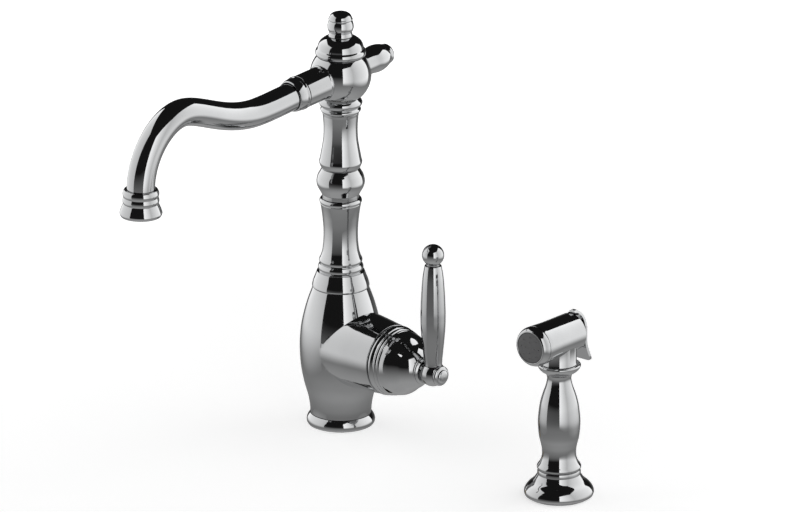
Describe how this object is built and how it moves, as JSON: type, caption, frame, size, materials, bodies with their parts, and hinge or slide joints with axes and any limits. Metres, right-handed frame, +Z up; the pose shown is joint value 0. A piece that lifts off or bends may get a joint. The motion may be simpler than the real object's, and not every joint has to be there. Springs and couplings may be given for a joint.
{
  "type": "kitchen faucet with side spray",
  "caption": "Column kitchen faucet with a swivelling spout and a side lever, and a separate side spray with a squeeze trigger in its own deck holder.",
  "frame": {"origin": "on the deck's top face, at the middle of the faucet's base, where the deck hole holds it", "axes": "+Z up; -Y to the front, along the spout's reach; +X towards the lever and the side spray"},
  "size_m": [0.3206, 0.3094, 0.421],
  "materials": {
    "polished_metal": "mirror-polished dark nickel plating",
    "brass": "plain turned",
    "steel": "plain turned",
    "rubber": "matte black",
    "plastic": "moulded, satin",
    "ceramic": "lapped white ceramic",
    "grey_face": "satin moulded grey"
  },
  "bodies": {
    "root": {"fixing_shank": "brass", "base_gasket": "rubber", "base_flange": "polished_metal", "rubber_washer": "rubber", "steel_washer": "steel", "mounting_nut": "brass", "faucet_body": "polished_metal", "cold_nipple": "brass", "hot_nipple": "brass", "spray_nipple": "brass", "diverter_seat": "brass", "lower_column": "polished_metal", "column_knop": "polished_metal", "upper_column": "polished_metal", "column_collar": "polished_metal", "swivel_tube": "brass", "lower_o_ring": "rubber", "upper_o_ring": "rubber", "swivel_washer": "plastic", "thrust_washer": "plastic", "hub_nut": "brass", "cartridge_body": "plastic", "fixed_disc": "ceramic", "valve_bonnet": "polished_metal", "holder_gasket": "rubber", "spray_holder": "polished_metal", "holder_washer": "steel", "holder_nut": "brass"},
    "diverter": {"diverter_poppet": "plastic"},
    "spout": {"spout_hub": "polished_metal", "rear_knob": "polished_metal", "dome_cap": "polished_metal", "finial": "polished_metal", "spout_tube": "polished_metal", "spout_sleeve": "polished_metal", "spout_bell": "polished_metal", "aerator_washer": "rubber", "aerator_insert": "steel"},
    "lever_turner": {"stem_carrier": "plastic", "pivot_pin": "steel"},
    "disc_slider": {"moving_disc": "ceramic", "disc_driver": "plastic"},
    "lever": {"lever_stem": "steel", "lever_skirt": "polished_metal", "lever_ball": "polished_metal", "lever_button": "polished_metal", "lever_screw": "steel", "lever_grip": "polished_metal", "lever_finial": "polished_metal"},
    "spray_coupling": {"hose_coupling": "brass"},
    "spray": {"spray_handle": "polished_metal", "spray_neck": "polished_metal", "spray_head": "polished_metal", "spray_nozzle": "polished_metal", "spray_face": "grey_face", "spray_back_cap": "polished_metal", "trigger_pin": "steel", "plunger_spring": "steel"},
    "trigger": {"spray_trigger": "polished_metal"},
    "plunger": {"spray_plunger": "steel"}
  },
  "joints": [
    {"name": "spout_swivel", "type": "hinge", "parent": "root", "child": "spout", "pos_m": [0, 0, 0.3082], "axis": [0, 0, 1], "continuous": true},
    {"name": "lever_temperature", "type": "hinge", "parent": "root", "child": "lever_turner", "pos_m": [0.079, 0, 0.0703], "axis": [1, 0, 0], "range_deg": [-45, 45]},
    {"name": "lever_flow", "type": "hinge", "parent": "lever_turner", "child": "lever", "pos_m": [0.079, 0, 0.0703], "axis": [0, 1, 0], "range_deg": [0, 16]},
    {"name": "disc_slide", "type": "slide", "parent": "lever_turner", "child": "disc_slider", "axis": [0, 0, 1], "range_m": [0, 0.0043]},
    {"name": "diverter_lift", "type": "slide", "parent": "root", "child": "diverter", "axis": [0, 0, 1], "range_m": [0, 0.003]},
    {"name": "spray_lift", "type": "slide", "parent": "root", "child": "spray_coupling", "axis": [0, 0, 1], "range_m": [0, 0.15]},
    {"name": "spray_turn", "type": "hinge", "parent": "spray_coupling", "child": "spray", "pos_m": [0.257, 0, 0.1], "axis": [0, 0, 1], "continuous": true},
    {"name": "trigger_squeeze", "type": "hinge", "parent": "spray", "child": "trigger", "pos_m": [0.25534, 0.01893, 0.1534], "axis": [-0.9962, -0.0872, 0], "range_deg": [0, 8], "stiffness_Nm_per_rad": 0.8, "springref_deg": -5.73},
    {"name": "plunger_slide", "type": "slide", "parent": "spray", "child": "plunger", "axis": [0.0872, -0.9962, 0], "range_m": [0, 0.0024], "deforming": ["plunger_spring"]}
  ],
  "couplings": [
    {"joint": "disc_slide", "follows": "lever_flow", "m_per_rad": 0.015},
    {"joint": "plunger_slide", "follows": "trigger_squeeze", "m_per_rad": 0.0171}
  ]
}
